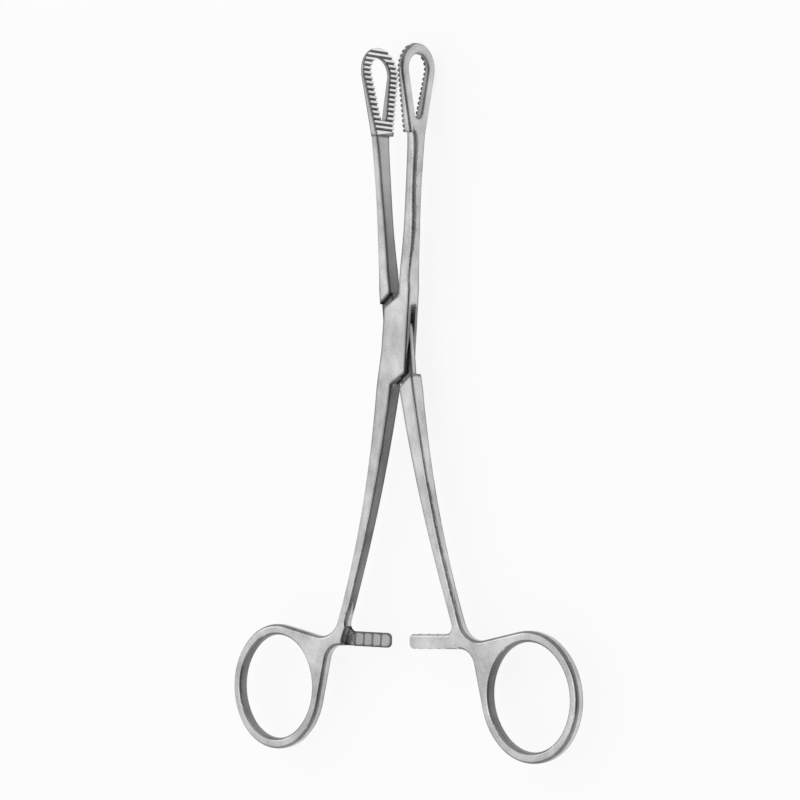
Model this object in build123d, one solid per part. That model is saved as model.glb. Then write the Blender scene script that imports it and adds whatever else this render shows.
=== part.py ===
# Sponge holding forceps, 18 cm pattern, straight, with a box lock.
#
# Two stainless halves cross at the lock. The box half carries the left finger ring and the right jaw,
# and has a mortise between two cheeks. The tongue half passes through that mortise, and carries the
# right ring and the left jaw. A rivet pin through cheeks and tongue is the only pivot.
#
# Each half is drawn closed, about the mid-plane Z = 0 with the pivot on the Z axis, jaw towards +Y on
# the +X side and finger ring on the -X side. The tongue half is then mirrored. At the end both halves
# are opened to the resting pose and lifted, so that the origin lies on the pivot axis in the lower
# flat face of the lock. Millimetres and degrees throughout.
from build123d import *
from math import atan2, cos, degrees, radians, sin, tan
import os

# Reach of the jaws from the pivot axis, and how far each half is opened at rest
JAW_REACH = 73.7
BOX_HALF_OPEN = 4.1
TONGUE_HALF_OPEN = 4.9

# Box lock: cheeks, mortise and tongue
LOCK_DEPTH = 4.0
LOCK_HALF_WIDTH = 4.0
LOCK_HALF_LENGTH = 13.0
CHEEK_SETBACK = 1.9
CHEEK_END_SLANT = 3.1
INNER_FACE_AT_LOCK = 0.45
MORTISE_FLANK_END = 9.25
MORTISE_NOSE_X = 0.6
MORTISE_NOSE_Y = 5.3
TONGUE_THICKNESS = 1.6
TONGUE_CLEARANCE = 0.05
TONGUE_PROUD = 0.1
TONGUE_STOP_Y = 3.7
TONGUE_NECK_Y = 5.0
SHOULDER_GAP = 1.1
TONGUE_IN_ROOT = 0.9
ROOT_SPREAD = 0.6
SHANK_SIDE_SPREAD = 0.15
SHANK_SPREAD_START = 3.0
SHANK_LEAD_OUTER = 3.0
SHANK_LEAD_INNER = 1.0

# Rivet pin, peened flush in the cheeks
PIN_RADIUS = 1.25
PIN_RUNNING_CLEARANCE = 0.04
PIN_HEAD_FLARE = 0.35

# Jaw arms: flat towards each other, rounded outside
ARM_MIDDLE = 34.0
ARM_THICKNESS_LOCK = 3.5
ARM_THICKNESS_MIDDLE = 2.9
ARM_THICKNESS_JAW = 2.5
ARM_HALF_DEPTH_MIDDLE = 1.85
ARM_HALF_DEPTH_JAW = 2.5
ARM_CORNER = 1.4
EDGE_BREAK = 0.2

# Jaws: a fenestrated teardrop seen along X
JAW_LENGTH = 22.3
JAW_TIP_RADIUS = 6.5
JAW_TAPER = 13.0
JAW_THICKNESS_TIP = 1.7
JAW_THICKNESS_NECK = 2.7
JAW_BACK_ROUND = 1.0
ARM_IN_JAW = 2.6
FACE_RECESS = 0.75
WINDOW_TOP_RADIUS = 3.7
WINDOW_TOP_RIM = 2.7
WINDOW_FOOT_RADIUS = 1.4
WINDOW_LENGTH = 15.9
WINDOW_BACK_ROUND = 0.8
CLOSED_GAP = 0.12

# Serrations across each jaw face
TOOTH_PITCH = 1.225
TOOTH_LAND = 0.5
TOOTH_DEPTH = 0.62
TOOTH_COUNT = 18

# Shanks, on a gentle outward bow
SHANK_START_X = 2.82
SHANK_LEAN = 4.6
SHANK_BOW_RADIUS = 330.0
SHANK_LENGTH = 57.0
SHANK_WIDTH_LOCK = 4.55
SHANK_WIDTH_RING = 2.9
SHANK_INNER_ROUND = 0.45
SHANK_STATIONS = 5

# Finger rings: four-arc ovals, placed from the shank's end
RING_OUT = 21.5
RING_DROP = 20.8
RING_HOLE_HALF_WIDTH = 12.0
RING_HOLE_HALF_HEIGHT = 13.2
RING_END_RADIUS = 11.2
RING_TILT = 4.0
RING_LIMB = 2.7
RING_DEPTH = 3.0
RING_ROUND = 1.0

# Web between shank, ring and ratchet bar. The join angles are those of the oval's outward normal.
WEB_JOIN_ANGLE = 93.5
SADDLE_RADIUS = 6.0
LIMB_JOIN_ANGLE = 185.0
CROTCH_RADIUS = 4.5
NOTCH_RADIUS = 1.8

# Ratchet bars, which pass each other above and below the mid-plane
BAR_DROP = 5.44
BAR_RISE = 3.4
BAR_HEIGHT = 3.7
BAR_OVERLAP = 2.3
BAR_TIP_ROUND = 1.2
RATCHET_TEETH = 4
RATCHET_PITCH = 2.8
RATCHET_DEPTH = 0.7
RATCHET_CLEARANCE = 0.1
RATCHET_TIP_LAND = 0.4
SCOOP_FLOOR = 3.3
SCOOP_RADIUS = 11.0
SCOOP_ABOVE_BAR = 3.5
SCOOP_BELOW_BAR = 1.2


def lerp(start, end, share):
    return start + (end - start) * share


def middle_of(start, end):
    return Vector((start[0] + end[0]) / 2, (start[1] + end[1]) / 2)


def turned(point):
    """A plan point after half a turn about the pivot."""
    return -point[0], -point[1]


def rounded_section(plane, inner, outer, half_depth, inner_round, outer_round):
    """A bar's cross-section from local x = inner to outer, each pair of corners rounded, or just broken."""
    corners = [
        (inner, -half_depth, inner_round, 1, 1),
        (outer, -half_depth, outer_round, -1, 1),
        (outer, half_depth, outer_round, -1, -1),
        (inner, half_depth, inner_round, 1, -1),
    ]
    on_arc = 1 - cos(radians(45))
    arcs = []
    for index, (x, y, radius, to_x, to_y) in enumerate(corners):
        along_depth = (x, y + to_y * radius)
        along_width = (x + to_x * radius, y)
        middle = (x + to_x * radius * on_arc, y + to_y * radius * on_arc)
        ends = (along_depth, along_width) if index in (0, 2) else (along_width, along_depth)
        arcs.append((ends[0], middle, ends[1], radius))
    outline = []
    for index, (start, middle, end, radius) in enumerate(arcs):
        following = arcs[(index + 1) % len(arcs)]
        broken_only = radius <= EDGE_BREAK
        outline.append(Line(start, end) if broken_only else ThreePointArc(start, middle, end))
        outline.append(Line(end, following[0]))
    return plane * make_face(Wire(outline))


def shank_point(length):
    """Centre of the shank after a length along it, on +X, and its heading away from the centre line."""
    start = radians(SHANK_LEAN)
    heading = start + length / SHANK_BOW_RADIUS
    x = SHANK_START_X + SHANK_BOW_RADIUS * (cos(start) - cos(heading))
    y = -LOCK_HALF_LENGTH - SHANK_BOW_RADIUS * (sin(heading) - sin(start))
    return x, y, heading


def shank_edge(length, across):
    """A plan point beside the shank's centre, across > 0 away from the centre line."""
    x, y, heading = shank_point(length)
    return x + across * cos(heading), y + across * sin(heading)


def jaw_arm():
    """The arm from the lock to just inside the jaw."""
    foot = JAW_REACH - JAW_LENGTH
    crest = CLOSED_GAP / 2
    recess = crest + FACE_RECESS
    stations = [
        (LOCK_HALF_LENGTH, INNER_FACE_AT_LOCK, ARM_THICKNESS_LOCK, LOCK_DEPTH / 2, EDGE_BREAK),
        (
            lerp(LOCK_HALF_LENGTH, ARM_MIDDLE, 0.4),
            lerp(INNER_FACE_AT_LOCK, recess, 0.5),
            lerp(ARM_THICKNESS_LOCK, ARM_THICKNESS_MIDDLE, 0.45),
            lerp(LOCK_DEPTH / 2, ARM_HALF_DEPTH_MIDDLE, 0.6),
            lerp(EDGE_BREAK, ARM_CORNER, 0.6),
        ),
        (ARM_MIDDLE, recess, ARM_THICKNESS_MIDDLE, ARM_HALF_DEPTH_MIDDLE, ARM_CORNER),
        (
            lerp(ARM_MIDDLE, foot, 0.6),
            recess,
            lerp(ARM_THICKNESS_MIDDLE, ARM_THICKNESS_JAW, 0.4),
            lerp(ARM_HALF_DEPTH_MIDDLE, ARM_HALF_DEPTH_JAW, 0.3),
            ARM_CORNER,
        ),
        (foot, recess, ARM_THICKNESS_JAW, ARM_HALF_DEPTH_JAW, ARM_CORNER),
        (
            foot + ARM_IN_JAW,
            recess,
            JAW_THICKNESS_NECK - FACE_RECESS - 0.2,
            ARM_HALF_DEPTH_JAW + ARM_IN_JAW * tan(radians(JAW_TAPER)),
            JAW_BACK_ROUND,
        ),
    ]
    sections = []
    for y, inner, thickness, half_depth, corner in stations:
        across = Plane(origin=(0, y, 0), x_dir=(1, 0, 0), z_dir=(0, -1, 0))
        sections.append(rounded_section(across, inner, inner + thickness, half_depth, EDGE_BREAK, corner))
    return loft(sections)


def jaw_blank():
    """The jaw before its window and teeth: a teardrop whose back thins towards the tip."""
    crest = CLOSED_GAP / 2
    foot = JAW_REACH - JAW_LENGTH
    head = JAW_REACH - JAW_TIP_RADIUS
    taper = radians(JAW_TAPER)
    foot_half = JAW_TIP_RADIUS / cos(taper) - (head - foot) * tan(taper)
    round_head = (Pos(head, 0) * Circle(JAW_TIP_RADIUS)).edges()
    flat_foot = [Edge.make_line((foot, -foot_half), (foot, foot_half))]
    outline = Plane.YZ * make_hull(round_head + flat_foot)
    body = extrude(outline, amount=crest + JAW_THICKNESS_NECK + 1, dir=(1, 0, 0))
    side = Polyline(
        (crest, foot - 1),
        (crest, JAW_REACH + 1),
        (crest + JAW_THICKNESS_TIP, JAW_REACH + 1),
        (crest + JAW_THICKNESS_TIP, head),
        (crest + JAW_THICKNESS_NECK, foot),
        (crest + JAW_THICKNESS_NECK, foot - 1),
        close=True,
    )
    body &= extrude(make_face(side), amount=JAW_TIP_RADIUS + 1, both=True)
    behind = crest + JAW_THICKNESS_TIP - 0.01
    rim = [e for e in body.edges() if (e @ 0.5).X > behind and (e @ 0.5).Y > foot + 0.01]
    rim = [e for e in rim if abs((e @ 0.5).Z) > 0.01 or (e @ 0.5).Y > JAW_REACH - 0.1]
    return fillet(rim, JAW_BACK_ROUND)


def jaw_window():
    """The teardrop opening through the jaw."""
    top = JAW_REACH - WINDOW_TOP_RIM
    head = (Pos(top - WINDOW_TOP_RADIUS, 0) * Circle(WINDOW_TOP_RADIUS)).edges()
    foot = (Pos(top - WINDOW_LENGTH + WINDOW_FOOT_RADIUS, 0) * Circle(WINDOW_FOOT_RADIUS)).edges()
    return extrude(Plane.YZ * make_hull(head + foot), amount=2 * JAW_TIP_RADIUS, both=True)


def jaw_grooves(shift):
    """V grooves between the lands, set off along the jaw by a share of the pitch."""
    crest = CLOSED_GAP / 2
    half_width = (TOOTH_PITCH - TOOTH_LAND) / 2
    above = TOOTH_DEPTH
    first = JAW_REACH - JAW_LENGTH + TOOTH_LAND + half_width + shift * TOOTH_PITCH
    grooves = []
    for index in range(TOOTH_COUNT):
        y = first + index * TOOTH_PITCH
        vee = Polyline(
            (crest - above, y - 2 * half_width),
            (crest + TOOTH_DEPTH, y),
            (crest - above, y + 2 * half_width),
            close=True,
        )
        grooves.append(extrude(make_face(vee), amount=JAW_TIP_RADIUS + 1, both=True))
    return grooves


def jaw(shift):
    """A finished jaw: window, rounded at the back, and the teeth."""
    body = jaw_blank() - jaw_window()
    behind = CLOSED_GAP / 2 + JAW_THICKNESS_TIP - 0.01
    rim = []
    for edge in body.edges():
        middle = edge @ 0.5
        inside = JAW_REACH - WINDOW_TOP_RIM - WINDOW_LENGTH - 0.1 < middle.Y < JAW_REACH - WINDOW_TOP_RIM + 0.1
        if middle.X > behind and inside and abs(middle.Z) < WINDOW_TOP_RADIUS + 0.1:
            rim.append(edge)
    return fillet(rim, WINDOW_BACK_ROUND) - jaw_grooves(shift)


def shank():
    """The bowed bar from the lock to the ring plate, on the +X side."""
    sections = []
    for index in range(SHANK_STATIONS):
        share = index / (SHANK_STATIONS - 1)
        length = share * SHANK_LENGTH
        eased = (1 - share) ** 2
        x, y, heading = shank_point(length)
        plane = Plane(
            origin=(x, y, 0), x_dir=(cos(heading), sin(heading), 0), z_dir=(sin(heading), -cos(heading), 0)
        )
        half_width = lerp(SHANK_WIDTH_RING, SHANK_WIDTH_LOCK, eased) / 2
        half_depth = lerp(RING_DEPTH, LOCK_DEPTH, eased) / 2
        outer_round = lerp(RING_ROUND, EDGE_BREAK, eased)
        settle = max(0.0, share - 0.5) * 2
        inner_round = lerp(lerp(EDGE_BREAK, SHANK_INNER_ROUND, min(1.0, 2 * share)), RING_ROUND, settle)
        sections.append(
            rounded_section(plane, -half_width, half_width, half_depth, inner_round, outer_round)
        )
    return loft(sections)


def meet(start, along, other, other_along):
    """Where the line through start along one direction meets the line through other along another."""
    across = along[0] * other_along[1] - along[1] * other_along[0]
    gap = (other[0] - start[0], other[1] - start[1])
    share = (gap[0] * other_along[1] - gap[1] * other_along[0]) / across
    return start[0] + share * along[0], start[1] + share * along[1]


def oval(grow, start, end):
    """The finger ring's oval on the +X side, grown outwards, between two angles of its outward normal."""
    lift = RING_HOLE_HALF_HEIGHT - RING_END_RADIUS
    spare = 2 * (RING_HOLE_HALF_WIDTH - RING_END_RADIUS)
    side_radius = (RING_HOLE_HALF_WIDTH**2 + lift**2 - RING_END_RADIUS**2) / spare
    shift = side_radius - RING_HOLE_HALF_WIDTH
    turn = degrees(atan2(lift, shift))
    arcs = [
        (-turn, turn, (-shift, 0), side_radius),
        (turn, 180 - turn, (0, lift), RING_END_RADIUS),
        (180 - turn, 180 + turn, (shift, 0), side_radius),
        (180 + turn, 360 - turn, (0, -lift), RING_END_RADIUS),
    ]
    shank_x, shank_y, heading = shank_point(SHANK_LENGTH)
    place = Pos(shank_x + RING_OUT, shank_y - RING_DROP) * Rot(0, 0, RING_TILT)
    edges = []
    for lap in (0, 360):
        for first, last, centre, radius in arcs:
            low = max(start, first + lap)
            high = min(end, last + lap)
            if high > low:
                edges.append(place * CenterArc(centre, radius + grow, low, high - low))
    return edges


def ring_plate():
    """Finger ring, web and ratchet bar in one rounded plate on the +X side, before the teeth are cut."""
    inner_end = shank_edge(SHANK_LENGTH, -SHANK_WIDTH_RING / 2)
    outer_end = shank_edge(SHANK_LENGTH, SHANK_WIDTH_RING / 2)
    shank_x, shank_y, heading = shank_point(SHANK_LENGTH)
    down_shank = (sin(heading), -cos(heading))
    rise = radians(BAR_RISE)
    along_bar = (cos(rise), -sin(rise))
    half_height = (sin(rise) * BAR_HEIGHT / 2, cos(rise) * BAR_HEIGHT / 2)
    tip_y = shank_y - BAR_DROP
    tip_top = (-BAR_OVERLAP + half_height[0], tip_y + half_height[1])
    tip_bottom = (-BAR_OVERLAP - half_height[0], tip_y - half_height[1])

    rim = oval(RING_LIMB, LIMB_JOIN_ANGLE, 360 + WEB_JOIN_ANGLE)
    limb_start = rim[0] @ 0
    limb_along = rim[0] % 0
    web_start = rim[-1] @ 1
    web_along = rim[-1] % 1
    notch = meet(inner_end, down_shank, tip_top, along_bar)
    crotch = meet(tip_bottom, along_bar, (limb_start.X, limb_start.Y), (limb_along.X, limb_along.Y))
    saddle = meet(outer_end, down_shank, (web_start.X, web_start.Y), (web_along.X, web_along.Y))
    bar_side = FilletPolyline(
        inner_end,
        notch,
        tip_top,
        tip_bottom,
        crotch,
        limb_start,
        radius=(NOTCH_RADIUS, BAR_TIP_ROUND, BAR_TIP_ROUND, CROTCH_RADIUS),
    )
    web_side = FilletPolyline(web_start, saddle, outer_end, radius=SADDLE_RADIUS)
    outline = Wire([*bar_side.edges(), *rim, *web_side.edges(), Line(outer_end, inner_end)])
    plate = extrude(make_face(outline), amount=RING_DEPTH / 2, both=True)
    plate -= extrude(make_face(Wire(oval(0, 0, 360))), amount=RING_DEPTH, both=True)
    end_middle = middle_of(inner_end, outer_end)
    edges = []
    for edge in plate.edges():
        middle = edge @ 0.5
        flat = abs(abs(middle.Z) - RING_DEPTH / 2) < 0.001
        if flat and (Vector(middle.X, middle.Y) - end_middle).length > 0.1:
            edges.append(edge)
    return fillet(edges, RING_ROUND)


def ratchet_cut(facing):
    """What is milled off the bar on the +X side: a scoop beside the shank, then saw teeth out to the tip.

    The teeth face +Z for facing = 1 and -Z for facing = -1. Their steep sides look to the bar's own root,
    so that two bars hook each other against opening. The scoop's wall is the round of the cutter.
    """
    crest = -facing * RATCHET_CLEARANCE / 2
    valley = crest - facing * RATCHET_DEPTH
    outside = facing * (RING_DEPTH / 2 + 1)
    tip = -BAR_OVERLAP
    first = tip + RATCHET_TIP_LAND + RATCHET_TEETH * RATCHET_PITCH
    wall = first + SCOOP_FLOOR
    profile = [(wall + 1, outside), (wall + 1, valley), (first, valley)]
    for index in range(RATCHET_TEETH):
        steep = first - index * RATCHET_PITCH
        profile.append((steep, crest))
        profile.append((steep - RATCHET_PITCH, valley))
    profile.append((tip - 1, valley))
    profile.append((tip - 1, outside))
    shank_x, shank_y, heading = shank_point(SHANK_LENGTH)
    upper = shank_y - BAR_DROP + BAR_HEIGHT / 2 + SCOOP_ABOVE_BAR
    lower = shank_y - BAR_DROP - BAR_HEIGHT / 2 - SCOOP_BELOW_BAR
    across = Plane(origin=(0, upper, 0), x_dir=(1, 0, 0), z_dir=(0, -1, 0))
    cut = extrude(across * make_face(Polyline(*profile, close=True)), amount=upper - lower)
    cutter = Pos(wall - SCOOP_RADIUS, lower) * Circle(SCOOP_RADIUS)
    return cut & extrude(cutter, amount=RING_DEPTH, both=True)


def handle(facing):
    """Shank, finger ring and ratchet bar on the -X side."""
    return mirror(shank() + ring_plate() - ratchet_cut(facing), about=Plane.YZ)


def prism(outline, depth):
    """A plan outline with its depth laid half to each side of the mid-plane."""
    return extrude(make_face(Polyline(*outline, close=True)), amount=depth / 2, both=True)


def broken(body, joints):
    """A lock block with its face edges broken, but for those that continue into an arm or a shank."""
    edges = []
    for edge in body.edges():
        middle = edge @ 0.5
        flat = abs(abs(middle.Z) - LOCK_DEPTH / 2) < 0.001
        joined = any((Vector(middle.X, middle.Y) - joint).length < 0.1 for joint in joints)
        if flat and not joined:
            edges.append(edge)
    return chamfer(edges, EDGE_BREAK)


def lead_in(back, across):
    """A plan point beside the shank's axis continued straight back into the lock, on the -X side."""
    start = radians(SHANK_LEAN)
    x = SHANK_START_X - back * sin(start) + across * cos(start)
    return -x, -LOCK_HALF_LENGTH + back * cos(start) + across * sin(start)


CHEEK_END_INNER = LOCK_HALF_LENGTH - CHEEK_SETBACK
CHEEK_END_FLANK = CHEEK_END_INNER - CHEEK_END_SLANT
ARM_OUTER_FACE = INNER_FACE_AT_LOCK + ARM_THICKNESS_LOCK
ARM_INNER_END = (INNER_FACE_AT_LOCK, LOCK_HALF_LENGTH)
ARM_OUTER_END = (ARM_OUTER_FACE, LOCK_HALF_LENGTH)
SHANK_OUTER_END = lead_in(0, SHANK_WIDTH_LOCK / 2)
SHANK_INNER_END = lead_in(0, -SHANK_WIDTH_LOCK / 2)
SHANK_OUTER_LEAD = lead_in(SHANK_LEAD_OUTER, SHANK_WIDTH_LOCK / 2)
SHANK_INNER_LEAD = lead_in(SHANK_LEAD_INNER, -SHANK_WIDTH_LOCK / 2)
LOCK_JOINTS = (middle_of(ARM_INNER_END, ARM_OUTER_END), middle_of(SHANK_OUTER_END, SHANK_INNER_END))


def pin():
    """The rivet, flared into the countersunk cheeks at both ends."""
    half = LOCK_DEPTH / 2
    profile = Polyline(
        (0, -half),
        (PIN_RADIUS + PIN_HEAD_FLARE, -half),
        (PIN_RADIUS, -half + PIN_HEAD_FLARE),
        (PIN_RADIUS, half - PIN_HEAD_FLARE),
        (PIN_RADIUS + PIN_HEAD_FLARE, half),
        (0, half),
        close=True,
    )
    return revolve(Plane.XZ * make_face(profile), axis=Axis.Z)


def mortise():
    """The slot between the cheeks, with a sloping end wall at the jaw and its half-turn at the shank."""
    reach = LOCK_HALF_WIDTH + 2
    slope = (MORTISE_FLANK_END - MORTISE_NOSE_Y) / (LOCK_HALF_WIDTH - MORTISE_NOSE_X)
    wall = [
        (MORTISE_NOSE_X, MORTISE_NOSE_Y),
        (reach, MORTISE_NOSE_Y + slope * (reach - MORTISE_NOSE_X)),
        (reach, LOCK_HALF_LENGTH + 1),
        (INNER_FACE_AT_LOCK, LOCK_HALF_LENGTH + 1),
    ]
    thickness = TONGUE_THICKNESS + 2 * TONGUE_CLEARANCE
    slot = Box(2 * reach, 2 * LOCK_HALF_LENGTH, thickness)
    return slot - prism(wall, 2 * thickness) - prism([turned(point) for point in wall], 2 * thickness)


def box_half():
    """Cheeks with the mortise, the jaw on +X and the handle on -X."""
    cheeks = [
        ARM_INNER_END,
        (INNER_FACE_AT_LOCK, CHEEK_END_INNER),
        (-LOCK_HALF_WIDTH, CHEEK_END_FLANK),
        (-LOCK_HALF_WIDTH - SHANK_SIDE_SPREAD, -SHANK_SPREAD_START),
        SHANK_OUTER_LEAD,
        SHANK_OUTER_END,
        SHANK_INNER_END,
        SHANK_INNER_LEAD,
        (-INNER_FACE_AT_LOCK, -CHEEK_END_INNER),
        (ARM_OUTER_FACE, -CHEEK_END_FLANK),
        ARM_OUTER_END,
    ]
    body = broken(prism(cheeks, LOCK_DEPTH), LOCK_JOINTS) - mortise()
    body = body + jaw_arm() + jaw(0) + handle(1)
    return body - pin()


def tongue_half():
    """The thin tongue between two full-depth shoulders, drawn like the other half and mirrored."""
    slope = (CHEEK_END_INNER - CHEEK_END_FLANK) / (LOCK_HALF_WIDTH + INNER_FACE_AT_LOCK)
    start = CHEEK_END_INNER + SHOULDER_GAP * (1 + slope**2) ** 0.5 - 2 * INNER_FACE_AT_LOCK * slope

    def on_shoulder(x):
        return x, start - slope * (x - INNER_FACE_AT_LOCK)

    flank = LOCK_HALF_WIDTH + TONGUE_PROUD
    side = [
        (flank, -TONGUE_STOP_Y),
        on_shoulder(flank),
        (flank - TONGUE_IN_ROOT / 2, on_shoulder(flank)[1] + TONGUE_IN_ROOT),
        (INNER_FACE_AT_LOCK + TONGUE_IN_ROOT / 6, start + TONGUE_IN_ROOT / 2),
        (INNER_FACE_AT_LOCK, TONGUE_NECK_Y),
    ]
    tongue = side + [turned(point) for point in side]
    upper_root = [ARM_INNER_END, on_shoulder(INNER_FACE_AT_LOCK), on_shoulder(ARM_OUTER_FACE), ARM_OUTER_END]
    lower_root = [
        SHANK_INNER_LEAD,
        turned(on_shoulder(INNER_FACE_AT_LOCK)),
        turned(on_shoulder(LOCK_HALF_WIDTH + ROOT_SPREAD)),
        SHANK_OUTER_LEAD,
        SHANK_OUTER_END,
        SHANK_INNER_END,
    ]
    body = prism(tongue, TONGUE_THICKNESS)
    body += broken(prism(upper_root, LOCK_DEPTH), LOCK_JOINTS)
    body += broken(prism(lower_root, LOCK_DEPTH), LOCK_JOINTS)
    body = body + jaw_arm() + jaw(0.5) + handle(-1)
    body -= Cylinder(PIN_RADIUS + PIN_RUNNING_CLEARANCE, 2 * LOCK_DEPTH)
    return mirror(body, about=Plane.YZ)


os.makedirs("parts", exist_ok=True)
lift = Pos(0, 0, LOCK_DEPTH / 2)
export_step(lift * Rot(0, 0, -BOX_HALF_OPEN) * box_half(), "parts/box_half.step")
export_step(lift * Rot(0, 0, TONGUE_HALF_OPEN) * tongue_half(), "parts/tongue_half.step")
export_step(lift * Rot(0, 0, -BOX_HALF_OPEN) * pin(), "parts/lock_pin.step")
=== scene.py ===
# %% [markdown]
# # Sponge holding forceps in satin stainless steel
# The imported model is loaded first. It is the frame: every finished piece keeps its place and
# size, and the script only adds what a solid model lacks, which is finish, light and a camera.
# Blender works in metres here. Sizes are written in millimetres and brought to metres with MM.

import math

import bmesh
import bpy
from mathutils import Matrix, Vector


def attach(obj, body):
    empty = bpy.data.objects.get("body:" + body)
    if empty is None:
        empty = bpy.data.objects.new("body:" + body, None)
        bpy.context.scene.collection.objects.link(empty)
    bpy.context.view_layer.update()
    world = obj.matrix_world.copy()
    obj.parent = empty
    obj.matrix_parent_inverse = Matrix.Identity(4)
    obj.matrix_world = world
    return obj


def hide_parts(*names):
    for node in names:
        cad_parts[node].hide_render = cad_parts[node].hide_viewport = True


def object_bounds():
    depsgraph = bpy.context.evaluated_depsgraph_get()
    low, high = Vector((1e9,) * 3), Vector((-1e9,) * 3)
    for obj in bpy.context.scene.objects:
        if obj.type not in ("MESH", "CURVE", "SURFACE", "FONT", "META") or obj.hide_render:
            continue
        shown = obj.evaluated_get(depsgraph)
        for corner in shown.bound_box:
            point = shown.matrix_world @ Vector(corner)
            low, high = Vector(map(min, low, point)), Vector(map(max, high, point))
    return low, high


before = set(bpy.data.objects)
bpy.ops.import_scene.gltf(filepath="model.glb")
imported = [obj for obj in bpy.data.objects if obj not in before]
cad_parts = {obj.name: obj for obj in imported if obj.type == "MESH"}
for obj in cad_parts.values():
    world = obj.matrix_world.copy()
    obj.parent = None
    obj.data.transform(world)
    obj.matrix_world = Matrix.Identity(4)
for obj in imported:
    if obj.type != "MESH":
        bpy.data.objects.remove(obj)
cad_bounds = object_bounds()
MM = 0.001

# %% [markdown]
# ## Finishes of each face, with painted shade and painted light
# A forceps is drop forged, milled where parts meet, and then ground and satin finished on the
# faces that a wheel reaches, which are the fronts, backs and outer sides, and these are light.
# The darker rounds beside them, and the dark inner flanks, which look at the other half, are
# painted shade. Groove flanks have a tone of their own, the darker milled walls are painted
# shade, the lighter mortise is painted light, and the worn crests get a painted highlight on
# their polish.
#
# The finishes could be painted by hand, or each could be a mesh of its own. Here rules read a
# face's place and direction in the model's own frame, in millimetres. They are worked out once
# per face, so the finish travels with the piece when the forceps open.

# %% Name the finishes and the landmarks they share
# The tones carry painted light and shade: the darker flank, milled and round tones are painted
# shade, the lighter mortise tone is painted light, and the bright land tone is a painted
# highlight on real polish.
GROUND, DARK_PAINTED_SHADE, MILLED_PAINTED_SHADE, EDGE, LAND, GROOVE, MORTISE_PAINTED_LIGHT, RIM, BAR = range(9)

MID_HEIGHT = 2.0
LOCK_END = 13.2
ARM_END = 51.6
SHANK_END = -67.0
INNER_SIDE = {"box_half": 1, "tongue_half": -1}

FLAT_FACE = 0.9
ROUND_FROM, ROUND_TO = 0.2, 0.75


def off_mid(centre):
    return abs(centre.z - MID_HEIGHT)


print("lock to", LOCK_END, "mm, jaw from", ARM_END, "mm, ring from", SHANK_END, "mm")

# %% [markdown]
# ## Box lock
# Two cheeks of one half hold the tongue of the other between them. The cheeks are ground light.
# The tongue, and the inner sides beyond the cheeks, show only through gaps and get the dark
# flank tone, a painted shade. The mortise is a slot that gets its light by bouncing. A lamp
# inside could open it up, but that would be wrong in any other room, so its wall is painted
# lighter instead, as painted light.

# %% Finish rule of the box lock
CHEEK_FACE_HEIGHT = 1.5
CHEEKS_END = 8.6
INNER_SIDE_FACING = 0.2
SLOT_REACH_UP = 0.95
SLOT_REACH_ACROSS = 3.6
OUTER_SIDE_FACING = 0.75


def lock_finish(node, centre, normal, inner):
    flat = abs(normal.z) > FLAT_FACE
    if flat and off_mid(centre) > CHEEK_FACE_HEIGHT:
        return GROUND
    # The inner sides beyond the cheeks get the dark tone, a painted shade.
    if abs(centre.y) > CHEEKS_END and normal.x * inner > INNER_SIDE_FACING:
        return DARK_PAINTED_SHADE
    in_slot = off_mid(centre) < SLOT_REACH_UP and abs(centre.x) < SLOT_REACH_ACROSS
    # The box half's slot walls get a lighter tone, a painted light; the tongue's get the dark
    # painted shade.
    if flat or in_slot:
        return MORTISE_PAINTED_LIGHT if node == "box_half" else DARK_PAINTED_SHADE
    return GROUND if abs(normal.x) > OUTER_SIDE_FACING else DARK_PAINTED_SHADE


print("mortise looked for within", SLOT_REACH_ACROSS, "mm across,", SLOT_REACH_UP, "mm up")

# %% [markdown]
# ## Ratchet bars
# Teeth and the scoop beside them are milled into each bar from one side, the front on one half
# and the rear on the other. The teeth get the darker milled tone, a painted shade. The scoop's
# steep walls are deep, so they get the mortise's lighter tone, a painted light. The bar's plain
# faces could be ground satin like the shanks. The metal over the teeth is only about a millimetre
# thick there, so they get a ground steel whose painted dark edge line is narrower.

# %% Finish rule of a ratchet bar
BAR_FACE_HEIGHT = 1.9
TOOTH_FACING = 0.1
TEETH_REACH = 13.6
STEEP_FACE = 0.45


def bar_finish(node, centre, normal):
    teeth_up = INNER_SIDE[node]
    # Teeth get the milled tone, a painted shade; steep scoop walls get the mortise tone, a
    # painted light.
    below_face = (centre.z - MID_HEIGHT) * teeth_up < BAR_FACE_HEIGHT
    if below_face and normal.z * teeth_up > TOOTH_FACING:
        return MILLED_PAINTED_SHADE
    steep = abs(normal.z) < STEEP_FACE and abs(normal.y) < FLAT_FACE
    in_scoop = below_face and abs(centre.x) > TEETH_REACH
    return MORTISE_PAINTED_LIGHT if steep and in_scoop else BAR


print("teeth within", TEETH_REACH, "mm of the middle line")

# %% [markdown]
# ## Finger rings
# A finger ring is forged with its shank and ground round by a belt. Its hole's wall gets the dark
# flank tone and its rounds the darker round tone, both painted shade. A face belongs to the hole
# when it is steep, near the ring's centre and turned towards it. The scoop runs out under the web
# between ring and bar, and leaves thin metal there, so the web's front and back take the bar's
# finish too.

# %% Finish rule of a finger ring
RING_CENTRES = {"box_half": (-40.10, -87.36), "tongue_half": (41.31, -86.79)}
HOLE_REACH = 13.4
HOLE_FACING = 0.4
BAR_BOTTOM = -79.0
SCOOP_TOP = -67.5
SCOOP_ROOT = 16.6
WEB_END = -82.0


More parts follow.
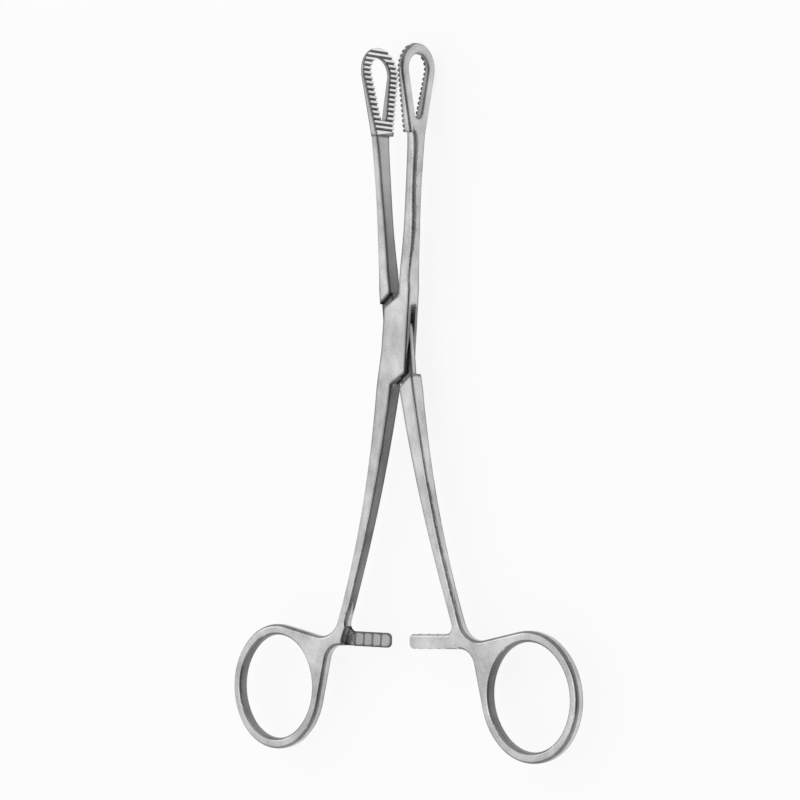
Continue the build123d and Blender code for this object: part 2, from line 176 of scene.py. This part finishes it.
def ring_finish(node, centre, normal):
    ring_x, ring_y = RING_CENTRES[node]
    inward = Vector((ring_x - centre.x, ring_y - centre.y, 0))
    # The hole's wall gets the dark tone, a painted shade.
    steep = abs(normal.z) < STEEP_FACE
    if steep and inward.length < HOLE_REACH and inward.normalized().dot(normal) > HOLE_FACING:
        return DARK_PAINTED_SHADE
    if BAR_BOTTOM < centre.y < SCOOP_TOP and abs(centre.x) < SCOOP_ROOT:
        return bar_finish(node, centre, normal)
    if abs(normal.z) > FLAT_FACE and centre.y > WEB_END:
        return BAR
    # Rounds get the darker round tone, a painted shade.
    return EDGE if ROUND_FROM < abs(normal.z) < FLAT_FACE else RIM


print("ring centres", RING_CENTRES)

# %% [markdown]
# ## Jaws
# A jaw is a flat teardrop with a window, and cross serrations on its gripping side. A groove's
# flanks are cut and stay grey. The crests between them, called lands, rub on the other jaw and
# are polished, and their bright tone adds a painted highlight to that. The window's wall gets the
# darker milled tone and the rounds the darker round tone, both painted shade. Each could be
# listed by its place, but its direction tells it more simply: a flank leans along the jaw, and a
# land looks straight at the other jaw.

# %% Finish rule of a jaw
WINDOW_START = 54.8
WINDOW_END = 71.6
WINDOW_REACH_UP = 3.9
WINDOW_WALL_ACROSS = 0.3
FLANK_ACROSS_FROM, FLANK_ACROSS_TO = 0.3, 0.85
FLANK_LEAN = 0.5
FLANK_RISE = 0.12
LAND_FACING = 0.95


def jaw_finish(centre, normal, inner):
    across = abs(normal.x)
    leans_along = abs(normal.y) > FLANK_LEAN and abs(normal.z) < FLANK_RISE
    if leans_along and FLANK_ACROSS_FROM < across < FLANK_ACROSS_TO:
        return GROOVE
    # Lands get the brightest tone, a painted highlight on their real rubbing polish.
    if normal.x * inner > LAND_FACING:
        return LAND
    # The window's wall gets the darker milled tone, and rounds the round tone, both painted
    # shade.
    in_window = WINDOW_START < centre.y < WINDOW_END and off_mid(centre) < WINDOW_REACH_UP
    if in_window and across < WINDOW_WALL_ACROSS:
        return MILLED_PAINTED_SHADE
    return EDGE if ROUND_FROM < across < ROUND_TO else GROUND


print("window looked for between", WINDOW_START, "and", WINDOW_END, "mm")

# %% [markdown]
# ## Arms, shanks and rivet
# An arm or a shank has a ground front, back and outer side. Its inner flank gets a dark tone, a
# painted shade, and its rounds a darker one, painted shade too. The halves cross in the lock, so
# the inner flank changes sides there. The rivet's two heads are peened and ground flush with the
# cheeks, and its sides get the milled tone, a painted shade. With these, one rule covers a whole
# piece.

# %% Finish rule of a whole piece
INNER_FLANK_FACING = 0.6


def finish_of(node, centre, normal):
    # The rivet's sides get the darker milled tone, a painted shade.
    if node == "lock_pin":
        return GROUND if abs(normal.z) > FLAT_FACE else MILLED_PAINTED_SHADE
    inner = INNER_SIDE[node] * (1 if centre.y < 0 else -1)
    if centre.y > ARM_END:
        return jaw_finish(centre, normal, inner)
    if abs(centre.y) < LOCK_END:
        return lock_finish(node, centre, normal, inner)
    if centre.y < SHANK_END:
        return ring_finish(node, centre, normal)
    # Inner flanks get the dark tone and rounds the darker round tone, both painted shade.
    if normal.x * inner > INNER_FLANK_FACING:
        return DARK_PAINTED_SHADE
    return EDGE if ROUND_FROM < abs(normal.z) < ROUND_TO else GROUND


arm_front = finish_of("box_half", Vector((4, 30, 4)), Vector((0, 0, 1)))
print("the front of an arm is ground:", arm_front == GROUND)

# %% [markdown]
# ## Tools for materials
# A material is a small machine of nodes. Four helpers keep it readable: one adds a node, one
# makes a noise pattern, one stretches a range of values into another, and one does a sum. The
# noise reads Object coordinates, which stay with the piece as it turns. A picture texture could
# do the same, but it would have to be unwrapped and would repeat.

# %% Helpers that build node trees


def add_node(tree, kind, **values):
    node = tree.nodes.new(kind)
    for name, value in values.items():
        setattr(node, name, value)
    return node


def noise(tree, where, scale, detail, stretch=(1, 1, 1)):
    mapping = add_node(tree, "ShaderNodeMapping")
    mapping.inputs["Scale"].default_value = stretch
    tree.links.new(where, mapping.inputs["Vector"])
    texture = add_node(tree, "ShaderNodeTexNoise")
    texture.inputs["Scale"].default_value = scale
    texture.inputs["Detail"].default_value = detail
    tree.links.new(mapping.outputs["Vector"], texture.inputs["Vector"])
    return texture.outputs["Fac"]


def map_range(tree, value, source, target):
    node = add_node(tree, "ShaderNodeMapRange")
    node.inputs["From Min"].default_value, node.inputs["From Max"].default_value = source
    node.inputs["To Min"].default_value, node.inputs["To Max"].default_value = target
    tree.links.new(value, node.inputs["Value"])
    return node.outputs["Result"]


def combine(tree, operation, first, second):
    node = add_node(tree, "ShaderNodeMath", operation=operation)
    for socket, value in zip(node.inputs, (first, second)):
        if isinstance(value, (int, float)):
            socket.default_value = value
        else:
            tree.links.new(value, socket)
    return node.outputs["Value"]


print("helpers", [helper.__name__ for helper in (add_node, noise, map_range, combine)])

# %% [markdown]
# ## Satin surface
# Glass beads leave a soft cloudy tone with fine specks. A slow drift makes long faces uneven,
# light scratches cross the piece, and the brushing runs along it. Each of the five is a noise
# pattern with a scale and a stretch of its own, counted per metre. The tone of a finish is the
# sum of all but the brushing, which is only felt in the gloss.

# %% Patterns and tone of the satin surface
CLOUD_SCALE, CLOUD_STRETCH = 420.0, (1.0, 0.6, 1.0)
DRIFT_SCALE = 90.0
SPECK_SCALE = 3000.0
BRUSHING_STRETCH = (2600.0, 170.0, 2600.0)
SCRATCH_STRETCH = (520.0, 3600.0, 900.0)

CLOUD_SPAN = (0.3, 0.7)
DRIFT_SPAN, DRIFT_SHARE = (0.38, 0.62), 1.3
SPECK_SPAN, SPECK_SHARE = (0.3, 0.7), 0.8
SCRATCH_SPAN, SCRATCH_LIGHT = (0.72, 0.8), 0.12


def satin_patterns(tree, where):
    return {
        "clouds": noise(tree, where, CLOUD_SCALE, 3.0, CLOUD_STRETCH),
        "drift": noise(tree, where, DRIFT_SCALE, 2.0),
        "specks": noise(tree, where, SPECK_SCALE, 1.0),
        "brushing": noise(tree, where, 1.0, 3.0, BRUSHING_STRETCH),
        "scratches": noise(tree, where, 1.0, 1.0, SCRATCH_STRETCH),
    }


def satin_tone(tree, patterns, tone, swing):
    drift = DRIFT_SHARE * swing
    speck = SPECK_SHARE * swing
    level = map_range(tree, patterns["clouds"], CLOUD_SPAN, (tone - swing, tone + swing))
    for name, span, change in (
        ("drift", DRIFT_SPAN, (-drift, drift)),
        ("specks", SPECK_SPAN, (-speck, speck)),
        ("scratches", SCRATCH_SPAN, (0.0, SCRATCH_LIGHT)),
    ):
        level = combine(tree, "ADD", level, map_range(tree, patterns[name], span, change))
    return level


for pattern, scale in (("clouds", CLOUD_SCALE), ("drift", DRIFT_SCALE), ("specks", SPECK_SCALE)):
    print(pattern, "about", round(1 / (scale * MM), 2), "mm across")

# %% [markdown]
# ## Painted shade in recesses
# Recesses are darkened in the colour itself, as painted shade. Ambient Occlusion measures how
# open a point is within a short reach, and its result is multiplied into the tone. The lamps
# alone give too soft a shade at this size, and a shade painted into a texture would slide when
# the piece changes.

# %% Paint shade into the recesses
AO_SAMPLES = 8
RECESS_REACH = 1.0 * MM
RECESS_SPAN = (0.35, 0.85)


# Painted shade: darker where a point is closed in.
def recess_shade(tree, depth):
    openness = add_node(tree, "ShaderNodeAmbientOcclusion", samples=AO_SAMPLES)
    openness.inputs["Distance"].default_value = RECESS_REACH
    return map_range(tree, openness.outputs["AO"], RECESS_SPAN, (depth, 1.0))


print("recess reach", RECESS_REACH / MM, "mm")

# %% [markdown]
# ## Painted dark edge lines
# Each light face of the real forceps ends in a thin dark line, where its rounded edge reflects
# the dark surroundings. Here the line is painted into the colour, as a painted reflection. Bevels
# on every edge could give it, at many more faces. Ambient Occlusion that looks inside the metal
# finds the same edges, and asks only the piece itself, so it holds in any pose. A border is a
# width in millimetres and the two levels between which it fades. The width stays under the
# metal's thickness, or the far side's teeth would show through. The rivet is ground flush and
# hardly shows, so the border is held back round the axis.

# %% Paint the dark edge lines
PLAIN_BORDER = (0.95, 0.66, 0.94)
TOOTH_BORDER = (0.8, 0.60, 0.84)
LIMB_BORDER = (1.7, 0.50, 0.88)
BAR_BORDER = (0.55, 0.64, 0.92)
PAINTED_EDGE_TONE = 0.30
RIVET_ZONE = (2.4 * MM, 3.2 * MM)
RIVET_TONE = 0.94


# Painted reflection: a dark line along convex edges.
def painted_edge_line(tree, where, width, darkest, plain):
    border = add_node(
        tree, "ShaderNodeAmbientOcclusion", samples=AO_SAMPLES, inside=True, only_local=True
    )
    border.inputs["Distance"].default_value = width * MM
    outline = map_range(tree, border.outputs["AO"], (darkest, plain), (PAINTED_EDGE_TONE, 1.0))
    flat = add_node(tree, "ShaderNodeVectorMath", operation="MULTIPLY")
    flat.inputs[1].default_value = (1, 1, 0)
    tree.links.new(where, flat.inputs[0])
    from_axis = add_node(tree, "ShaderNodeVectorMath", operation="LENGTH")
    tree.links.new(flat.outputs["Vector"], from_axis.inputs[0])
    flush_rivet = map_range(tree, from_axis.outputs["Value"], RIVET_ZONE, (RIVET_TONE, 0.0))
    return combine(tree, "MAXIMUM", outline, flush_rivet)


print("borders", PLAIN_BORDER[0], TOOTH_BORDER[0], LIMB_BORDER[0], BAR_BORDER[0], "mm")

# %% [markdown]
# ## The steel
# All finishes are the same metal, so one function builds them, and only tone, sheen, depth of
# the painted recess shade and the painted edge line differ. The dark painted shade of an arm's
# inner face fades lighter towards the jaw. Roughness follows the clouds, and a faint bump carries
# brushing, specks and scratches into the gloss, because real relief this fine would need millions
# of faces.

# %% Build one steel
BLUE_GAIN = 1.012
BUMP_STRENGTH = 0.15
BUMP_HEIGHT = 0.012 * MM


# Painted shade: the dark flank tone fades lighter from the lock to the jaw.
def painted_shade_along_arm(tree, where, level, gain):
    split = add_node(tree, "ShaderNodeSeparateXYZ")
    tree.links.new(where, split.inputs["Vector"])
    along = map_range(tree, split.outputs["Y"], (LOCK_END * MM, ARM_END * MM), (0.0, gain))
    return combine(tree, "ADD", level, along)


def satin_bump(tree, patterns):
    bump = add_node(tree, "ShaderNodeBump")
    bump.inputs["Strength"].default_value = BUMP_STRENGTH
    bump.inputs["Distance"].default_value = BUMP_HEIGHT
    fine = combine(tree, "ADD", patterns["specks"], patterns["scratches"])
    height = combine(tree, "ADD", patterns["brushing"], fine)
    tree.links.new(height, bump.inputs["Height"])
    return bump.outputs["Normal"]


def steel(name, tone, swing, sheen, depth=0.25, border=PLAIN_BORDER, painted_lift_at_jaw=0.0):
    material = bpy.data.materials.new(name)
    material.use_nodes = True
    tree = material.node_tree
    shader = tree.nodes["Principled BSDF"]
    shader.inputs["Metallic"].default_value = 1.0
    where = add_node(tree, "ShaderNodeTexCoord").outputs["Object"]
    patterns = satin_patterns(tree, where)

    level = satin_tone(tree, patterns, tone, swing)
    if painted_lift_at_jaw:
        level = painted_shade_along_arm(tree, where, level, painted_lift_at_jaw)
    # Painted recess shade and painted dark edge lines are multiplied into the tone.
    level = combine(tree, "MULTIPLY", level, recess_shade(tree, depth))
    if border:
        level = combine(tree, "MULTIPLY", level, painted_edge_line(tree, where, *border))

    colour = add_node(tree, "ShaderNodeCombineColor")
    tree.links.new(level, colour.inputs["Red"])
    tree.links.new(level, colour.inputs["Green"])
    tree.links.new(combine(tree, "MULTIPLY", level, BLUE_GAIN), colour.inputs["Blue"])
    tree.links.new(colour.outputs["Color"], shader.inputs["Base Color"])

    roughness = map_range(tree, patterns["clouds"], CLOUD_SPAN, sheen)
    tree.links.new(roughness, shader.inputs["Roughness"])
    tree.links.new(satin_bump(tree, patterns), shader.inputs["Normal"])
    return material


print("bump", round(BUMP_HEIGHT / MM, 3), "mm high")

# %% [markdown]
# ## Nine finishes of one steel
# They stand in the order of the finish names above, so a face's finish is also the place of its
# material in the piece's list. After the name come the tone, how far it swings, and the sheen as
# a range of roughness. The flank, milled and round steels are darker as painted shade, and the
# mortise steel is lighter as painted light. The jaws' lands are the brightest, a painted
# highlight on top of the polish that rubbing gives them.

# %% Build the nine finishes
# Flank, milled and round steels are darkened as painted shade, the mortise steel is lightened as
# painted light, and the land steel is brightened as a painted highlight.
FINISHES = [
    steel("ground satin steel", 0.56, 0.06, (0.20, 0.30)),
    steel("flank steel with painted shade", 0.20, 0.03, (0.32, 0.44), painted_lift_at_jaw=0.30),
    steel("milled steel with painted shade", 0.30, 0.03, (0.30, 0.40), depth=0.55, border=TOOTH_BORDER),
    steel("round steel with painted shade", 0.25, 0.04, (0.30, 0.40)),
    steel("worn land steel with painted highlight", 0.84, 0.03, (0.24, 0.32), depth=0.6, border=None),
    steel("cut groove steel", 0.42, 0.03, (0.30, 0.40), depth=0.9, border=None),
    steel("mortise steel with painted light", 0.55, 0.03, (0.30, 0.40), depth=0.95, border=None),
    steel("ground limb steel", 0.56, 0.06, (0.22, 0.32), border=LIMB_BORDER),
    steel("ground bar steel", 0.56, 0.06, (0.20, 0.30), border=BAR_BORDER),
]
print("finishes", [finish.name for finish in FINISHES])

# %% [markdown]
# ## Room for the tongue
# With the forceps fully open, the tongue's end edge meets the inner corner of the mortise's end
# wall. A fitter files such an edge back until the halves swing freely. The points of the tongue's
# two ends are moved in by a few hundredths of a millimetre, inside the lock, where nothing of it
# shows. A cut would do the same, but it would leave new edges to clean.

# %% Ease the tongue's ends
TONGUE_EASE = 0.07
TONGUE_REACH_UP = 0.9
TONGUE_REACH_ACROSS = 3.9
TONGUE_END_FROM, TONGUE_END_TO = 3.9, 5.1


def ease_tongue(bm):
    moved = 0
    for vert in bm.verts:
        place = vert.co / MM
        in_mortise = off_mid(place) < TONGUE_REACH_UP and abs(place.x) < TONGUE_REACH_ACROSS
        if in_mortise and TONGUE_END_FROM < abs(place.y) < TONGUE_END_TO:
            vert.co.y -= math.copysign(TONGUE_EASE * MM, place.y)
            moved += 1
    print("tongue's ends eased by", TONGUE_EASE, "mm at", moved, "points")


# %% [markdown]
# ## Smooth copies of the forgings
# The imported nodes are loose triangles, so light breaks at each facet. A copy with its doubled
# points merged can be shaded smooth, while every edge sharper than a set angle stays crisp. A
# weighted normal modifier then lets large flat faces keep their own direction, so that shading
# only bends in the rounds. Subdividing the copy would also smooth it, but it would pull the
# surfaces away from the model's exact ones.

# %% Finish a node as a smooth piece
SMOOTH_ANGLE = math.radians(28)
DOUBLES_WITHIN = 0.002 * MM
SLIVERS_WITHIN = 0.001 * MM
LARGE_FACE_WEIGHT = 60


def smooth_piece(node, body, name):
    piece = bpy.data.objects.new(name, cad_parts[node].data.copy())
    bpy.context.scene.collection.objects.link(piece)
    piece.data.materials.clear()
    for finish in FINISHES:
        piece.data.materials.append(finish)
    bm = bmesh.new()
    bm.from_mesh(piece.data)
    bmesh.ops.remove_doubles(bm, verts=bm.verts, dist=DOUBLES_WITHIN)
    bmesh.ops.dissolve_degenerate(bm, edges=bm.edges, dist=SLIVERS_WITHIN)
    if node == "tongue_half":
        ease_tongue(bm)
    bm.normal_update()
    for face in bm.faces:
        face.smooth = True
        face.material_index = finish_of(node, face.calc_center_median() / MM, face.normal)
    for edge in bm.edges:
        edge.smooth = edge.is_manifold and edge.calc_face_angle(0) < SMOOTH_ANGLE
    bm.to_mesh(piece.data)
    bm.free()
    even = piece.modifiers.new("even normals", "WEIGHTED_NORMAL")
    even.mode = "FACE_AREA"
    even.weight = LARGE_FACE_WEIGHT
    even.keep_sharp = True
    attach(piece, body)
    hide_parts(node)
    print(name, len(piece.data.polygons), "faces")


print("crisp beyond", round(math.degrees(SMOOTH_ANGLE)), "degrees")

# %% [markdown]
# ## The three pieces
# A box lock forceps comes apart into two forgings and a rivet. The rivet is fast in the cheeks,
# so it rides with the box half, and only the tongue half swings. Each piece replaces the node it
# was copied from. One joined mesh would look the same at rest, but it couldn't open.

# %% Put the finished pieces on their bodies
smooth_piece("box_half", "box", "box_half_forging")
smooth_piece("tongue_half", "tongue", "tongue_half_forging")
smooth_piece("lock_pin", "box", "lock_rivet")

# %% [markdown]
# ## Sheet under the forceps
# The forceps lie over a plain white sheet. It is one large plane, a hair below their lowest
# point, so that nothing flickers where the two would meet.

# %% Lay the sheet
SHEET_SIZE = 6.0
SHEET_GAP = 0.1 * MM

floor_height = cad_bounds[0][2] - SHEET_GAP
bpy.ops.mesh.primitive_plane_add(size=SHEET_SIZE, location=(0, 0, 0))
floor = bpy.context.object
floor.name = "white_sheet"
floor.data.transform(Matrix.Translation((0, 0, floor_height)))
print("sheet at", round(floor_height / MM, 2), "mm")

# %% [markdown]
# ## White of the sheet
# Strong lamps would turn the sheet white, and would burn out the steel with it. So the paper is
# an ordinary pale surface, which keeps the forceps' soft shadow, mixed with plain white light of
# strength 1. Light Path shows that light only to the camera, in mirror images and through glass,
# so the steel mirrors a white sheet and nothing gets more light than the lamps give.

# %% Whiten the sheet
PAPER_TONE = 0.96
WHITE_SHARE = 0.85

sheet = bpy.data.materials.new("white sheet")
sheet.use_nodes = True
sheet_tree = sheet.node_tree
paper = sheet_tree.nodes["Principled BSDF"]
paper.inputs["Base Color"].default_value = (PAPER_TONE, PAPER_TONE, PAPER_TONE, 1)
paper.inputs["Roughness"].default_value = 1.0
paper.inputs["Specular IOR Level"].default_value = 0.0
plain_white = add_node(sheet_tree, "ShaderNodeEmission")
ray = add_node(sheet_tree, "ShaderNodeLightPath").outputs
seen = combine(sheet_tree, "MAXIMUM", ray["Is Camera Ray"], ray["Is Glossy Ray"])
seen = combine(sheet_tree, "MAXIMUM", seen, ray["Is Transmission Ray"])
blend = add_node(sheet_tree, "ShaderNodeMixShader")
sheet_end = sheet_tree.nodes["Material Output"]
for source, socket in (
    (combine(sheet_tree, "MULTIPLY", seen, WHITE_SHARE), blend.inputs["Fac"]),
    (paper.outputs["BSDF"], blend.inputs[1]),
    (plain_white.outputs["Emission"], blend.inputs[2]),
    (blend.outputs["Shader"], sheet_end.inputs["Surface"]),
):
    sheet_tree.links.new(source, socket)
floor.data.materials.append(sheet)
print("white share of the sheet", WHITE_SHARE)

# %% [markdown]
# ## Tent
# Polished steel shows its surroundings, so the room matters as much as the lamps. It is a white
# tent with one dark opening high on the right. Rounded edges pick that opening up as the dark
# line beside each light face. Walls of mesh could build the tent, but the world alone can do it:
# a dot product compares a ray's direction with the opening's, is about 1 in the middle of the
# opening, and falls off round it.

# %% Light the world as a tent with an opening
OPENING_DIRECTION = Vector((0.64, 0.0, 0.77))
OPENING_EDGE = math.cos(math.radians(44))
OPENING_CORE = math.cos(math.radians(22))
TENT_LIGHT = 0.98
OPENING_LIGHT = 0.22

world = bpy.data.worlds.new("studio")
bpy.context.scene.world = world
world.use_nodes = True
tent = world.node_tree
sky = tent.nodes["Background"]
sky.inputs["Color"].default_value = (1, 1, 1, 1)
direction = add_node(tent, "ShaderNodeTexCoord").outputs["Generated"]
toward = add_node(tent, "ShaderNodeVectorMath", operation="DOT_PRODUCT")
toward.inputs[1].default_value = OPENING_DIRECTION
tent.links.new(direction, toward.inputs[0])
brightness = map_range(
    tent, toward.outputs["Value"], (OPENING_EDGE, OPENING_CORE), (TENT_LIGHT, OPENING_LIGHT)
)
tent.links.new(brightness, sky.inputs["Strength"])
print("tent light", TENT_LIGHT, "and", OPENING_LIGHT, "in the opening")

# %% [markdown]
# ## Lamps
# A long soft lamp overhead gives the bright line along the rounded edges, and a box on the left
# lights the jaws. Small hard lamps would give sparks instead of lines. Both are weak, because the
# tent already lights the steel to about its own tone.

# %% Hang the two lamps
LAMP_AIM = Vector((0, -0.015, 0))


def lamp(name, place, size, power):
    data = bpy.data.lights.new(name, "AREA")
    data.shape = "RECTANGLE"
    data.size, data.size_y = size
    data.energy = power
    lamp_object = bpy.data.objects.new(name, data)
    bpy.context.scene.collection.objects.link(lamp_object)
    lamp_object.location = place
    aim = LAMP_AIM - Vector(place)
    lamp_object.rotation_euler = aim.to_track_quat("-Z", "Y").to_euler()
    print(name, power, "W")


lamp("overhead_strip", (0.03, 0.0, 0.8), (0.16, 0.7), 0.38)
lamp("left_softbox", (-0.75, 0.35, 0.45), (0.4, 0.5), 0.5)

# %% [markdown]
# ## Camera
# The photograph looks at the forceps from 40 degrees round their long axis, from about 0.8 m
# away, with the jaws upwards. The lens could be found by trial. Here it follows from the camera's
# distance to the pivot and from how much of the forceps one pixel covers there.

# %% Place the camera
EYE = Vector((0.5092, -0.0370, 0.6086))
TARGET = Vector((0.00013, -0.01488, 0.00189))
EYE_DISTANCE_MM = 792
MM_PER_PIXEL = 0.248
PICTURE_PIXELS = 800
SENSOR_MM = 36.0

back = (EYE - TARGET).normalized()
right = Vector((0, 1, 0)).cross(back).normalized()
up = back.cross(right)
camera_data = bpy.data.cameras.new("photo camera")
camera_data.sensor_width = SENSOR_MM
camera_data.lens = SENSOR_MM * (EYE_DISTANCE_MM / MM_PER_PIXEL) / PICTURE_PIXELS
camera = bpy.data.objects.new("photo_camera", camera_data)
bpy.context.scene.collection.objects.link(camera)
camera.matrix_world = Matrix(
    (
        (right.x, up.x, back.x, EYE.x),
        (right.y, up.y, back.y, EYE.y),
        (right.z, up.z, back.z, EYE.z),
        (0, 0, 0, 1),
    )
)
bpy.context.scene.camera = camera
bpy.context.scene.view_settings.view_transform = "Standard"
print("lens", round(camera_data.lens, 1), "mm")
